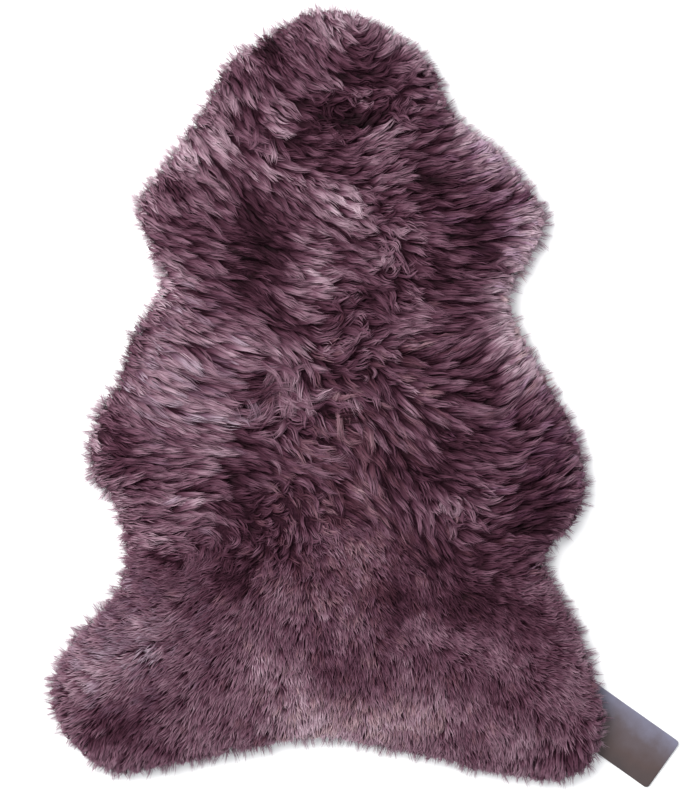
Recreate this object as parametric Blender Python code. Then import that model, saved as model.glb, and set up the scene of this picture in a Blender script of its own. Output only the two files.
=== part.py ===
"""A sheepskin rug: one dyed pelt with its long wool, and the plain leather label sewn under it.

The rug lies on its flat hide with the wool up and the neck towards +Y. The origin is on the
floor, under the middle of the back. Everything is in metres.
"""

import math
from collections import namedtuple

import bmesh
import bpy
import numpy as np
from mathutils import Vector
from mathutils.geometry import delaunay_2d_cdt

MM = 0.001

# Driving dimensions of the pelt
PILE_HEIGHT = 0.052  # floor to wool tips on the back
RIM_HEIGHT = 0.010  # floor to the outermost wool tips
SHOULDER = 0.075  # from the outline in to where the wool stands at its full height
OVERHANG = 0.028  # how far the wool reaches past the edge of the hide
OUTLINE_STEPS = 5  # stretches of the outline between two of its named points
RIM_RINGS = (0.005, 0.016, 0.034)  # rings of points inside the outline, where the wool falls away
GRID_PITCH = 0.018  # points on the back

# Driving dimensions of the label
LABEL_LENGTH = 0.150
LABEL_WIDTH = 0.068
LABEL_THICKNESS = 0.002
LABEL_CORNER = 0.005
LABEL_CORNER_STEPS = 4
LABEL_TURN = math.radians(-36.5)
LABEL_OUTER_END = Vector((0.4225, -0.4663, 0.0))  # middle of its free edge, on the floor
CLEARANCE = 0.0003  # between the label and the hide around its end

# The wool tips seen from above, in millimetres, counter-clockwise from the neck
OutlinePoint = namedtuple("OutlinePoint", "place x y")
OUTLINE = (
    OutlinePoint("neck", -6, 486),
    OutlinePoint("neck left", -62, 460),
    OutlinePoint("neck left side", -118, 424),
    OutlinePoint("neck left root", -156, 362),
    OutlinePoint("shoulder left top", -200, 298),
    OutlinePoint("shoulder left", -241, 237),
    OutlinePoint("shoulder left under", -224, 188),
    OutlinePoint("waist left", -210, 140),
    OutlinePoint("flank left top", -246, 72),
    OutlinePoint("flank left notch", -266, 14),
    OutlinePoint("flank left", -289, -20),
    OutlinePoint("flank left side", -300, -62),
    OutlinePoint("flank left low", -296, -106),
    OutlinePoint("flank left under", -269, -141),
    OutlinePoint("thigh left", -255, -205),
    OutlinePoint("hind left top", -272, -255),
    OutlinePoint("hind left side", -322, -307),
    OutlinePoint("hind left", -348, -378),
    OutlinePoint("hind left low", -316, -442),
    OutlinePoint("hind left tip", -256, -476),
    OutlinePoint("rump left", -150, -458),
    OutlinePoint("tail", -12, -433),
    OutlinePoint("rump right", 104, -452),
    OutlinePoint("hind right low", 208, -476),
    OutlinePoint("hind right tip", 290, -486),
    OutlinePoint("hind right corner", 338, -458),
    OutlinePoint("hind right", 350, -396),
    OutlinePoint("hind right top", 322, -298),
    OutlinePoint("thigh right", 284, -222),
    OutlinePoint("thigh right inner", 284, -194),
    OutlinePoint("flank right under", 308, -168),
    OutlinePoint("flank right low", 329, -118),
    OutlinePoint("flank right", 316, -48),
    OutlinePoint("flank right top", 266, 44),
    OutlinePoint("waist right", 234, 116),
    OutlinePoint("shoulder right under", 264, 176),
    OutlinePoint("shoulder right", 278, 226),
    OutlinePoint("shoulder right top", 226, 300),
    OutlinePoint("neck right root", 166, 350),
    OutlinePoint("neck right side", 131, 420),
    OutlinePoint("neck right", 70, 464),
)

# Partings and swells of the wool, in millimetres; length is along turn, in degrees from +X
Relief = namedtuple("Relief", "place x y length width turn rise")
RELIEFS = (
    Relief("neck parting", 18, 358, 62, 40, 0, -11),
    Relief("shoulder groove", -96, 212, 56, 20, 80, -8),
    Relief("withers swell", 30, 205, 85, 48, 90, 4),
    Relief("left flank swell", -185, 20, 100, 55, 75, 3),
    Relief("right side swell", 180, 60, 150, 60, 95, 3),
    Relief("loin crease", -112, -46, 34, 18, -20, -8),
    Relief("loin hollow", -80, -188, 58, 46, 20, -9),
    Relief("back parting", 10, 20, 95, 24, 100, -5),
    Relief("rump hollow", 105, -315, 60, 36, 10, -6),
    Relief("left hind groove", -172, -405, 46, 18, 80, -10),
    Relief("right hind fold", 276, -442, 46, 17, 65, -13),
    Relief("right shoulder fold", 240, 186, 36, 20, 60, -7),
)


def clear_scene():
    for thing in list(bpy.data.objects):
        bpy.data.objects.remove(thing, do_unlink=True)


def plain_material(name, color, roughness):
    material = bpy.data.materials.new(name)
    material.use_nodes = True
    shader = material.node_tree.nodes["Principled BSDF"]
    shader.inputs["Base Color"].default_value = (*color, 1.0)
    shader.inputs["Roughness"].default_value = roughness
    shader.inputs["Metallic"].default_value = 0.0
    return material


def add_object(name, bm, material=None):
    """The finished bmesh as an object of the scene, shaded smooth."""
    mesh = bpy.data.meshes.new(name)
    bm.to_mesh(mesh)
    bm.free()
    mesh.shade_smooth()
    if material:
        mesh.materials.append(material)
    thing = bpy.data.objects.new(name, mesh)
    bpy.context.scene.collection.objects.link(thing)
    return thing


def outline_curve():
    """The closed outline through its named points, as an N by 2 array, by a Catmull-Rom curve."""
    knots = np.array([(point.x, point.y) for point in OUTLINE]) * MM
    before = np.roll(knots, 1, axis=0)
    after = np.roll(knots, -1, axis=0)
    beyond = np.roll(knots, -2, axis=0)
    rows = []
    for step in range(OUTLINE_STEPS):
        t = step / OUTLINE_STEPS
        straight = 2 * knots + (after - before) * t
        bent = (2 * before - 5 * knots + 4 * after - beyond) * t**2
        turned = (3 * knots - before - 3 * after + beyond) * t**3
        rows.append((straight + bent + turned) / 2)
    return np.stack(rows, axis=1).reshape(-1, 2)


def inward_normals(curve):
    """Unit normals of a counter-clockwise curve, pointing into it."""
    tangents = np.roll(curve, -1, axis=0) - np.roll(curve, 1, axis=0)
    normals = np.stack([-tangents[:, 1], tangents[:, 0]], axis=1)
    return normals / np.linalg.norm(normals, axis=1, keepdims=True)


def distance_inside(points, curve):
    """How far each point lies inside the closed curve; negative outside it."""
    start = curve
    end = np.roll(curve, -1, axis=0)
    along = end - start
    offset = points[:, None, :] - start[None, :, :]
    share = np.clip((offset * along).sum(2) / (along**2).sum(1), 0.0, 1.0)
    distance = np.linalg.norm(offset - share[:, :, None] * along, axis=2).min(axis=1)
    above = (start[:, 1] > points[:, 1, None]) != (end[:, 1] > points[:, 1, None])
    rise = np.where(along[:, 1] == 0, 1.0, along[:, 1])
    crossing = start[:, 0] + (points[:, 1, None] - start[:, 1]) * along[:, 0] / rise
    inside = (above & (points[:, 0, None] < crossing)).sum(axis=1) % 2 == 1
    return np.where(inside, distance, -distance)


def relief_at(points):
    """The sum of the partings and swells, each a soft oval."""
    total = np.zeros(len(points))
    for relief in RELIEFS:
        turn = math.radians(relief.turn)
        offset = points - np.array((relief.x, relief.y)) * MM
        along = offset @ (math.cos(turn), math.sin(turn)) / (relief.length * MM)
        across = offset @ (-math.sin(turn), math.cos(turn)) / (relief.width * MM)
        total += relief.rise * MM * np.exp(-(along**2) - across**2)
    return total


def wool_height(points, curve):
    """The height of the wool's top: a quarter ellipse up from the rim, then the back with its relief."""
    share = np.clip(distance_inside(points, curve) / SHOULDER, 0.0, 1.0)
    dome = np.sqrt(1.0 - (1.0 - share) ** 2)
    return RIM_HEIGHT + dome * (PILE_HEIGHT - RIM_HEIGHT + relief_at(points))


def top_points(curve):
    """Points inside the outline: a ring at each of RIM_RINGS, then a staggered grid."""
    normals = inward_normals(curve)
    found = []
    for depth in RIM_RINGS:
        ring = curve + normals * depth
        found.append(ring[distance_inside(ring, curve) > 0.9 * depth])
    low, high = curve.min(axis=0), curve.max(axis=0)
    row_pitch = GRID_PITCH * math.sqrt(3) / 2
    rows = np.arange(low[1], high[1], row_pitch)
    columns = np.arange(low[0], high[0], GRID_PITCH)
    grid = np.array([(x + GRID_PITCH / 2 * (row % 2), y) for row, y in enumerate(rows) for x in columns])
    found.append(grid[distance_inside(grid, curve) > RIM_RINGS[-1] + GRID_PITCH / 2])
    return np.concatenate(found)


def sheepskin_mesh():
    """The wool's top over the whole outline, its underside sloping in to the hide, and the flat hide."""
    curve = outline_curve()
    count = len(curve)
    plan = np.concatenate([curve, top_points(curve)])
    placed, _, triangles, origins, _, _ = delaunay_2d_cdt(
        [Vector(point) for point in plan], [], [list(range(count))], 1, 1e-6
    )
    heights = wool_height(np.array(placed), curve)
    bm = bmesh.new()
    top = []
    for place, height, origin in zip(placed, heights, origins):
        on_outline = min(origin) < count
        top.append(bm.verts.new((*place, RIM_HEIGHT if on_outline else height)))
    for triangle in triangles:
        bm.faces.new([top[i] for i in triangle])
    rim = [None] * count
    for vertex, origin in zip(top, origins):
        if min(origin) < count:
            rim[min(origin)] = vertex
    hide_edge = curve + inward_normals(curve) * OVERHANG
    hide = [bm.verts.new((*place, 0.0)) for place in hide_edge]
    for i in range(count):
        after = (i + 1) % count
        bm.faces.new((rim[after], rim[i], hide[i], hide[after]))
    bm.faces.new(list(reversed(hide)))
    bmesh.ops.recalc_face_normals(bm, faces=bm.faces)
    return bm


def rounded_plate(length, width, thickness, corner):
    """A plate centred in X and Y, from z = 0 up, with round corners seen from above."""
    bm = bmesh.new()
    bmesh.ops.create_cube(bm, size=1.0)
    bmesh.ops.scale(bm, vec=(length, width, thickness), verts=bm.verts)
    bmesh.ops.translate(bm, vec=(0.0, 0.0, thickness / 2), verts=bm.verts)
    upright = [edge for edge in bm.edges if abs(edge.verts[0].co.z - edge.verts[1].co.z) > thickness / 2]
    bmesh.ops.bevel(
        bm, geom=upright, offset=corner, segments=LABEL_CORNER_STEPS, profile=0.5, affect="EDGES"
    )
    return bm


def place_at_label(thing):
    """Turns the thing along the label and puts its centre under the label's centre."""
    along = Vector((math.cos(LABEL_TURN), math.sin(LABEL_TURN), 0.0))
    thing.location += LABEL_OUTER_END - along * LABEL_LENGTH / 2
    thing.rotation_euler.z = LABEL_TURN


def make_label():
    leather = plain_material("label leather", (0.13, 0.11, 0.12), 0.5)
    plate = rounded_plate(LABEL_LENGTH, LABEL_WIDTH, LABEL_THICKNESS, LABEL_CORNER)
    label = add_object("label", plate, leather)
    label.data.set_sharp_from_angle(angle=math.radians(40))
    place_at_label(label)


def make_sheepskin():
    """The pelt, with a shallow recess under its edge for the label's sewn end."""
    wool = plain_material("dyed wool", (0.17, 0.09, 0.13), 0.9)
    sheepskin = add_object("sheepskin", sheepskin_mesh(), wool)
    room = rounded_plate(
        LABEL_LENGTH + 2 * CLEARANCE,
        LABEL_WIDTH + 2 * CLEARANCE,
        LABEL_THICKNESS + 2 * CLEARANCE,
        LABEL_CORNER,
    )
    cutter = add_object("label room", room)
    cutter.location.z = -CLEARANCE
    place_at_label(cutter)
    cutter.hide_render = True
    cutter.display_type = "WIRE"
    recess = sheepskin.modifiers.new("label recess", "BOOLEAN")
    recess.operation = "DIFFERENCE"
    recess.object = cutter
    return sheepskin


clear_scene()
make_sheepskin()
make_label()
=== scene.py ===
import math
from collections import namedtuple

import bmesh
import bpy
import numpy as np
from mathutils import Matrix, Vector
from mathutils.bvhtree import BVHTree
from mathutils.geometry import delaunay_2d_cdt
from mathutils.kdtree import KDTree


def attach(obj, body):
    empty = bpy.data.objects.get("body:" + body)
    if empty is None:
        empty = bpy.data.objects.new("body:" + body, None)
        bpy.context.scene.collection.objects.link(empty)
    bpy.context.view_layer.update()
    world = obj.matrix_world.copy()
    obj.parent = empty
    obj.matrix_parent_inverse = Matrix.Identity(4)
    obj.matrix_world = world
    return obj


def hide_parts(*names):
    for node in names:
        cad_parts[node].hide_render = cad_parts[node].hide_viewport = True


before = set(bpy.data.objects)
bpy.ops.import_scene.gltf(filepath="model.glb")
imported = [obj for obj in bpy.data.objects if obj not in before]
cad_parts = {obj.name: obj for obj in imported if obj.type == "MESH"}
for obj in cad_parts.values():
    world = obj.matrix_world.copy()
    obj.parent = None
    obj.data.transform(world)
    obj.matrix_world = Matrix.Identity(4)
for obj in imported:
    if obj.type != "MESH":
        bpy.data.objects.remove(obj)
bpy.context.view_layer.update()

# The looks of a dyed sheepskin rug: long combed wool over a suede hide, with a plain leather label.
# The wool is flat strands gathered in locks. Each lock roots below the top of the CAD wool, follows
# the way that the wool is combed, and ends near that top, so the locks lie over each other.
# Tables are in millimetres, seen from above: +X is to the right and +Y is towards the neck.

MM = 0.001
SEED = 20
Draws = namedtuple("Draws", "tufts roots sleek curly plush filling border loose drift")
DRAWS = Draws(*range(len(Draws._fields)))

# ---- How the wool lies ----

# Heading of the strands, from root to tip, in degrees from +X
Stroke = namedtuple("Stroke", "x y heading")
STROKES = [Stroke(*row) for row in (
    # Neck
    (-75, 440, -40), (0, 455, -68), (75, 435, 25), (-130, 400, -38), (120, 395, 8), (-40, 400, -42),
    (15, 408, -60), (30, 378, -25), (75, 385, 4), (-130, 345, -50), (-65, 350, -38), (-10, 345, -14),
    (50, 345, 10), (140, 340, 3),
    # Withers and shoulders
    (-150, 290, -52), (-78, 290, -48), (-15, 288, -22), (15, 318, 4), (60, 290, 17), (150, 290, 6),
    (-200, 238, -50), (-118, 240, -47), (-165, 208, -8), (-40, 235, -28), (15, 240, -16),
    (50, 202, -45), (95, 225, 2), (190, 235, 5), (250, 215, 26), (-190, 178, -4), (-82, 198, -34),
    # Back, waist and the lower right shoulder
    (-100, 165, -10), (-10, 175, -10), (100, 178, -6), (210, 175, 8), (-190, 130, -8), (-58, 120, -34),
    (2, 132, 3), (12, 98, 16), (72, 112, -45), (128, 112, -6), (190, 115, 3),
    # Loin and flanks
    (-215, 75, -20), (-95, 65, -17), (-28, 62, -28), (35, 72, 24), (85, 60, 0), (200, 60, 15),
    (-245, 10, -35), (-175, 18, -22), (-115, 2, -36), (-150, -38, -14), (-66, -14, 58), (-36, -6, -112),
    (-4, -25, 6), (24, 4, -52), (75, -5, -42), (165, 0, -10), (260, -10, 36), (-265, -55, -14),
    (-262, -105, 16), (-150, -80, 3), (-68, -66, -40), (-82, -106, 14), (8, -76, -22), (42, -86, -66),
    (100, -70, -50), (190, -80, -5), (290, -75, 24),
    # Thighs and the end of the back
    (-235, -145, 7), (-165, -135, -10), (-190, -168, 8), (-100, -150, -40), (0, -150, -60),
    (80, -145, -58), (155, -145, -40), (250, -145, 15),
    # Rump, hind lobes and tail
    (-225, -215, 190), (-120, -215, 218), (-60, -215, 252), (20, -215, 294), (120, -205, 308),
    (240, -215, 368), (-270, -300, 196), (-160, -290, 225), (-70, -300, 250), (20, -300, 273),
    (110, -300, 300), (205, -300, 325), (295, -300, 345), (-325, -380, 200), (-225, -370, 222),
    (-110, -390, 240), (0, -390, 264), (110, -385, 281), (215, -380, 292), (325, -375, 312),
    (-260, -450, 238), (290, -460, 285),
)]
COMB_REACH = 0.025  # how far a stroke is felt
COMB_JITTER = 0.007  # how far off its own place a lock may read the strokes
RIM_REACH = 0.018  # how far in from the outline the strands turn to point out of it
OUTWARD_SLOPE = 3  # how soon strands that run along the outline turn too

# How the wool grows: curl is how far a lock's tip turns, in half turns; wave is the height of its
# crimp in millimetres; reach is a share of its length; stray is in degrees; tuft is how far
# neighbouring locks run together
Grain = namedtuple("Grain", "curl wave reach stray tuft")
PLAIN = Grain(0.08, 0.9, 1.0, 6.0, 0.50)
# Where it grows its own way: the ovals add to the plain grain
Habit = namedtuple("Habit", "x y length width turn curl wave reach stray tuft")
HABITS = [Habit(*row) for row in (
    (25, 358, 75, 42, 0, 0.34, 0.8, -0.35, 16, -0.1),  # crown curls
    (-90, 335, 22, 22, 0, 0.3, 0.3, -0.2, 20, -0.1),  # neck whorl
    (34, 215, 66, 34, 110, 0.16, 0.6, -0.20, 8, 0.0),  # withers ridge
    (60, 165, 36, 22, 100, 0.6, 0.4, -0.35, 16, -0.2),  # back curls
    (15, 85, 50, 28, 110, 0.5, 0.4, -0.3, 12, -0.1),  # lower back curls
    (-40, -15, 65, 50, -20, 0.35, 0.4, 0.1, 12, 0.1),  # loin tangle
    (-75, -155, 62, 42, 15, 0.6, 0.5, -0.4, 24, -0.2),  # loin hollow curls
    (152, -140, 18, 16, 0, 0.5, 0.5, -0.4, 24, -0.1),  # the knot of curls on the right
    (20, -210, 100, 70, 0, 0.0, -0.3, -0.1, 0, -0.4),  # short pile
    (30, -370, 330, 150, 0, 0.0, -0.5, 0.0, 0, -0.55),  # rump pile
    (-200, -310, 140, 95, 0, 0.0, -0.3, 0.0, 0, -0.30),  # haunch left pile
    (215, -300, 140, 90, 0, 0.0, -0.3, 0.0, 0, -0.30),  # haunch right pile
    (-195, -200, 75, 26, 0, 0.0, -0.4, -0.05, 0, -0.30),  # thigh left pile
    (160, 120, 150, 110, 90, 0.0, -0.2, 0.2, -2, 0.0),  # right flank
    (-190, 20, 120, 80, 80, -0.05, -0.6, 0.2, -2, -0.12),  # left flank
)]

# Light and dark patches in the wool, partly painted light and shade (sheen where the combed wool lies
# towards the light, shade in hollows and grooves) and partly the dye's own tone: tone is in steps of
# about e
Patch = namedtuple("Patch", "x y length width turn tone")
PATCHES = [Patch(*row) for row in (
    # Broad ones on the neck, the right body and the left hind lobe
    (0, 405, 120, 75, 0, 0.1), (150, 0, 170, 70, 85, -0.15), (-190, -350, 130, 70, 0, 0.3),
    # Neck and crown
    (18, 475, 34, 32, 0, 1.6), (-64, 428, 30, 14, 80, -1.0), (100, 434, 36, 16, -50, 1.3),
    (8, 445, 30, 10, -65, 0.7), (-104, 412, 26, 20, 60, 1.0), (-145, 362, 24, 14, 60, 0.3),
    (-103, 378, 14, 14, 0, -1.2), (36, 422, 30, 16, 30, -0.7), (42, 388, 40, 28, 0, -0.9),
    (10, 384, 14, 16, 0, 0.9), (16, 346, 48, 22, 0, -1.3), (26, 330, 14, 10, 0, -1.2),
    (50, 362, 16, 12, 0, 1.2), (-52, 346, 18, 18, 0, 1.0), (78, 326, 22, 16, 40, 1.2),
    (68, 345, 26, 12, 10, -1.5), (150, 326, 24, 10, -40, -0.9), (-55, 322, 14, 12, 0, 1.2),
    (-100, 362, 20, 14, 0, 1.5), (-34, 306, 20, 20, 0, -1.7), (-128, 312, 34, 25, 70, 1.2),
    (-98, 337, 19, 17, 0, -1.0),
    # Left shoulder and withers
    (-178, 300, 32, 32, 0, 1.4), (-192, 248, 14, 20, 80, -0.9), (-214, 244, 44, 26, 70, 0.9),
    (-58, 276, 30, 28, 0, 1.4), (24, 230, 40, 28, -20, 1.7), (52, 287, 16, 10, 0, 0.8),
    (60, 236, 14, 12, 0, -0.5), (100, 272, 34, 12, 10, 0.6), (-34, 214, 28, 18, 60, -0.3),
    # Back, and the groove below the left shoulder
    (74, 162, 24, 18, 0, 0.7), (58, 196, 14, 18, -60, 0.7), (42, 150, 16, 12, 0, -0.7),
    (-14, 156, 34, 20, 90, 1.2), (16, 136, 30, 14, 0, 1.0), (-30, 100, 26, 12, -35, 0.8),
    (18, 84, 22, 26, 0, -0.6), (-84, 212, 40, 30, 90, -1.2), (-140, 222, 30, 26, 0, 0.4),
    (-74, 172, 28, 24, 90, -1.1), (-135, 202, 44, 14, -5, -0.4), (-108, 124, 24, 20, 0, -0.7),
    (-62, 98, 38, 10, -45, -0.8),
    # Left flank, waist and loin
    (-190, 10, 78, 68, 70, 1.1), (-250, 50, 46, 15, 75, -1.9), (-246, 18, 16, 18, 0, 0.9),
    (-252, -78, 40, 20, 80, -1.4), (-200, 134, 38, 30, 0, 1.7), (-96, 56, 66, 20, -10, 0.9),
    (-6, 52, 30, 16, 0, 1.0), (-44, 34, 22, 10, 0, -0.9), (-132, -38, 36, 14, -12, 1.0),
    # The tangle in the middle, and the hollow below it
    (-40, -6, 30, 20, 80, 0.9), (-62, -36, 22, 14, 60, 0.1), (-86, 14, 14, 14, 0, -0.8),
    (-128, -80, 24, 18, 0, 1.3), (-90, -92, 24, 12, 50, -0.6), (-64, -112, 18, 16, 0, 0.2),
    (-62, -98, 16, 14, 0, -0.8), (-101, -140, 16, 14, 0, -0.8), (-46, -168, 14, 14, 0, 0.5),
    (26, -98, 26, 18, 0, -0.7), (33, -4, 16, 14, 0, 1.7), (34, -28, 12, 16, 0, -1.2),
    (-5, 2, 12, 12, 0, 1.1), (-22, -42, 16, 10, 0, -0.9),
    # Right side of the loin and the back
    (62, 24, 30, 18, 100, -0.9), (58, 62, 24, 10, -10, 0.7), (84, 47, 24, 12, 0, 0.9),
    (204, 22, 30, 20, 10, -0.5), (138, 166, 34, 18, 90, -0.5), (152, 104, 28, 16, 0, -0.4),
    (132, 138, 36, 12, -5, -0.9), (122, 72, 26, 14, 10, 0.9), (54, 120, 32, 22, 0, -1.2),
    # Right shoulder, waist and upper flank
    (196, 310, 44, 20, -40, 2.6), (142, 244, 36, 28, 90, -1.1), (190, 206, 30, 26, 0, -1.1),
    (232, 196, 18, 24, 0, 0.4), (256, 206, 70, 26, 90, 1.9), (155, 222, 20, 26, 0, 0.8),
    (104, 190, 22, 14, -30, 1.2), (204, 170, 24, 14, -50, -1.3), (248, 246, 14, 14, 0, -1.5),
    (232, 92, 70, 24, 100, 2.0), (258, 34, 40, 24, -30, 1.0),
    # Right loin and thigh, and the end of the back
    (150, -102, 50, 26, 0, -0.5), (78, -20, 14, 34, 20, 0.4), (111, 0, 12, 18, 0, 0.9),
    (140, -38, 18, 18, 0, 0.6), (158, -62, 24, 14, -10, -0.7), (22, 4, 14, 26, 40, -1.1),
    (98, -162, 14, 24, 25, -0.5), (42, -150, 12, 40, 20, -0.3), (212, -120, 14, 12, 0, 0.9),
    (258, -118, 60, 30, 90, -0.7), (226, -184, 56, 26, 20, -0.6), (216, -90, 18, 18, 0, -0.4),
    (155, -142, 15, 13, 0, 1.1), (120, -200, 36, 18, -20, -0.9), (138, -219, 22, 14, -20, -0.6),
    (70, -130, 20, 40, 0, 0.3),
    # Left thigh and lower flank, and the hollow beside them
    (-172, -134, 28, 24, 0, 1.0), (-200, -172, 50, 16, 0, 0.4), (-257, -152, 14, 14, 0, 0.8),
    (-138, -163, 14, 12, 0, 1.1), (-262, -122, 26, 40, 0, 1.1), (-284, -64, 14, 26, 0, 1.2),
    (-107, -55, 20, 10, 20, -1.0), (-106, -98, 12, 22, 0, -1.1), (-72, -170, 54, 40, 0, -0.6),
    (-120, -224, 32, 28, 0, -0.7),
    # Rump, haunches, tail and hind lobes
    (14, -260, 34, 30, 90, 0.3), (84, -238, 22, 16, 0, -0.5), (-95, -244, 18, 18, 0, -0.5),
    (-252, -306, 22, 14, 0, -0.5), (-322, -384, 18, 20, 0, 0.1), (-138, -350, 20, 70, 0, -0.35),
    (190, -256, 70, 36, 0, -0.9), (190, -194, 26, 14, 0, -0.6), (258, -308, 32, 24, -20, -0.5),
    (86, -270, 38, 18, 90, -1.0), (34, -340, 34, 24, 0, -0.5), (-70, -330, 60, 24, -50, 0.4),
    (-26, -398, 44, 26, 90, 0.6), (40, -410, 90, 30, 0, 1.2), (-120, -432, 60, 20, 10, 0.4),
    (130, -394, 60, 30, 0, 0.4), (300, -395, 44, 26, 90, 0.4), (245, -440, 40, 26, -10, 0.9),
    (273, -451, 18, 9, 10, -0.7), (-285, -330, 58, 34, 40, 1.0), (-228, -288, 28, 24, 0, 0.5),
    (-248, -412, 30, 24, 0, -1.2), (-214, -375, 18, 24, 0, -0.6),
)]
RIM_PAINTED_LIGHT = 0.50  # painted light: how much lighter the wool is made at the outline, where it falls away from the light into shade
RIM_PAINTED_LIGHT_REACH = 0.012
RIM_PALED = 0.70  # how much of the painted root shade the locks at the outline leave out
RIM_PALED_REACH = 0.020

# Casts of the dye; the rows of the wool's map are in this order
Cast = namedtuple("Cast", "name red green blue")
CASTS = (
    Cast("plum", 1.00, 1.00, 1.00),
    Cast("grey mauve", 0.94, 1.02, 1.04),
    Cast("brown", 1.03, 1.02, 0.93),
    Cast("violet", 0.98, 0.95, 1.05),
)
# Where the wool is not plum
Spread = namedtuple("Spread", "cast x y length width turn share")
SPREADS = [Spread(*row) for row in (
    ("grey mauve", -250, -310, 90, 60, 30, 0.6),
    ("grey mauve", -200, 20, 90, 70, 70, 0.4),
    ("brown", 10, -60, 110, 70, 60, 0.7),
    ("brown", 30, -210, 90, 60, 0, 0.6),
    ("brown", 240, 80, 70, 34, 100, 0.4),
    ("brown", 40, -380, 110, 50, 0, 0.5),
    ("violet", 190, 250, 90, 60, 90, 0.5),
    ("violet", 250, -90, 90, 50, 90, 0.6),
)]

# ---- The wool's top and outline, read from the frame ----

GRID_STEP = 0.0025
GRID_MARGIN = 0.045
RAY_TOP = 1.0
RIM_SPACING = 0.002
SMALL = 1e-4
OUTER_SLOPE = 0.5  # how fast the drooping tips come down past the outline
OUTER_LOWEST = 0.004
INSIDE_BLUR = 2
OUTWARD_BLUR = 6
TOP_BLUR = 3

Shape = namedtuple("Shape", "outline top inside outward rise")


def unit(vectors):
    """Vectors along the last axis, at length 1."""
    length = np.linalg.norm(vectors, axis=-1, keepdims=True)
    return vectors / np.maximum(length, 1e-12)


def turned(headings):
    """Unit vectors in the plane, from angles in radians."""
    return np.stack([np.cos(headings), np.sin(headings)], axis=-1)


def blurred(values, times):
    """A grid with its cells mixed with their neighbours, a number of times."""
    for _ in range(times):
        for axis in (0, 1):
            values = (np.roll(values, 1, axis) + 2 * values + np.roll(values, -1, axis)) / 4
    return values


class Field:
    """A value over the floor, held on a square grid and read between its points."""

    def __init__(self, low, values):
        self.low = low
        self.values = values

    def at(self, points):
        place = (points - self.low) / GRID_STEP
        last = np.array(self.values.shape) - 2
        cell = np.clip(np.floor(place).astype(int), 0, last)
        share = np.clip(place - cell, 0.0, 1.0)
        column, row = cell[..., 0], cell[..., 1]
        right, up = share[..., 0], share[..., 1]
        below = self.values[column, row] * (1 - right) + self.values[column + 1, row] * right
        above = self.values[column, row + 1] * (1 - right) + self.values[column + 1, row + 1] * right
        return below * (1 - up) + above * up


def corners_of(node):
    """The corners of a CAD node's triangles, N by 3 by 3."""
    places = np.array([vertex.co for vertex in node.data.vertices])
    return places[np.array([face.vertices for face in node.data.polygons])]


def outline_of(corners, rim_height):
    """The rug's outline, counter-clockwise: the rim edges of the faces that look down."""
    down = np.cross(corners[:, 1] - corners[:, 0], corners[:, 2] - corners[:, 0])[:, 2] < 0
    follow = {}
    for triangle in corners[down]:
        for first, second in ((0, 1), (1, 2), (2, 0)):
            pair = triangle[[first, second]]
            if np.all(np.abs(pair[:, 2] - rim_height) < SMALL):
                start, end = (tuple(np.round(place[:2], 5)) for place in pair)
                follow[start] = end
    first = next(iter(follow))
    loop = [first]
    while follow[loop[-1]] != first:
        loop.append(follow[loop[-1]])
    loop = np.array(loop)
    after = np.roll(loop, -1, axis=0)
    area = (loop[:, 0] * after[:, 1] - after[:, 0] * loop[:, 1]).sum()
    return loop if area > 0 else loop[::-1]


def run_of(path):
    """How far along a path each of its points lies."""
    return np.concatenate([[0.0], np.cumsum(np.linalg.norm(np.diff(path, axis=0), axis=1))])


def read_path(path, stops):
    """The points of a path at these distances from its start."""
    return np.stack([np.interp(stops, run_of(path), path[:, axis]) for axis in (0, 1)], axis=1)


def evenly_spaced(loop, spacing):
    """Points along a closed line, at an even spacing."""
    closed = np.concatenate([loop, loop[:1]])
    length = run_of(closed)[-1]
    return read_path(closed, np.linspace(0.0, length, int(length / spacing), endpoint=False))


def read_frame():
    """Fields of the wool's top, of the distance in from the outline and of the way out of it."""
    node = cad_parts["sheepskin"]
    corners = corners_of(node)
    everything = corners.reshape(-1, 3)
    rim_height = everything[everything[:, 0].argmax(), 2]
    outline = outline_of(corners, rim_height)
    tree = BVHTree.FromPolygons(
        [vertex.co[:] for vertex in node.data.vertices], [face.vertices[:] for face in node.data.polygons]
    )
    rim = evenly_spaced(outline, RIM_SPACING)
    nearest = KDTree(len(rim))
    for index, place in enumerate(rim):
        nearest.insert((place[0], place[1], 0.0), index)
    nearest.balance()
    low = outline.min(axis=0) - GRID_MARGIN
    counts = np.ceil((outline.max(axis=0) + GRID_MARGIN - low) / GRID_STEP).astype(int)
    top = np.zeros(counts)
    inside = np.zeros(counts)
    down = Vector((0.0, 0.0, -1.0))
    for column in range(counts[0]):
        for row in range(counts[1]):
            x = low[0] + column * GRID_STEP
            y = low[1] + row * GRID_STEP
            distance = nearest.find((x, y, 0.0))[2]
            hit = tree.ray_cast(Vector((x, y, RAY_TOP)), down)[0]
            if hit is None:
                inside[column, row] = -distance
                top[column, row] = max(OUTER_LOWEST, rim_height - distance * OUTER_SLOPE)
            else:
                inside[column, row] = distance
                top[column, row] = hit.z
    inside_field = Field(low, blurred(inside, INSIDE_BLUR))
    out_x, out_y = np.gradient(blurred(inside, OUTWARD_BLUR), GRID_STEP)
    smooth_top = blurred(top, TOP_BLUR)
    rise_x, rise_y = np.gradient(smooth_top, GRID_STEP)
    return Shape(
        outline,
        Field(low, smooth_top),
        inside_field,
        (Field(low, -out_x), Field(low, -out_y)),
        (Field(low, rise_x), Field(low, rise_y)),
    )


# ---- Locks and strands ----

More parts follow.
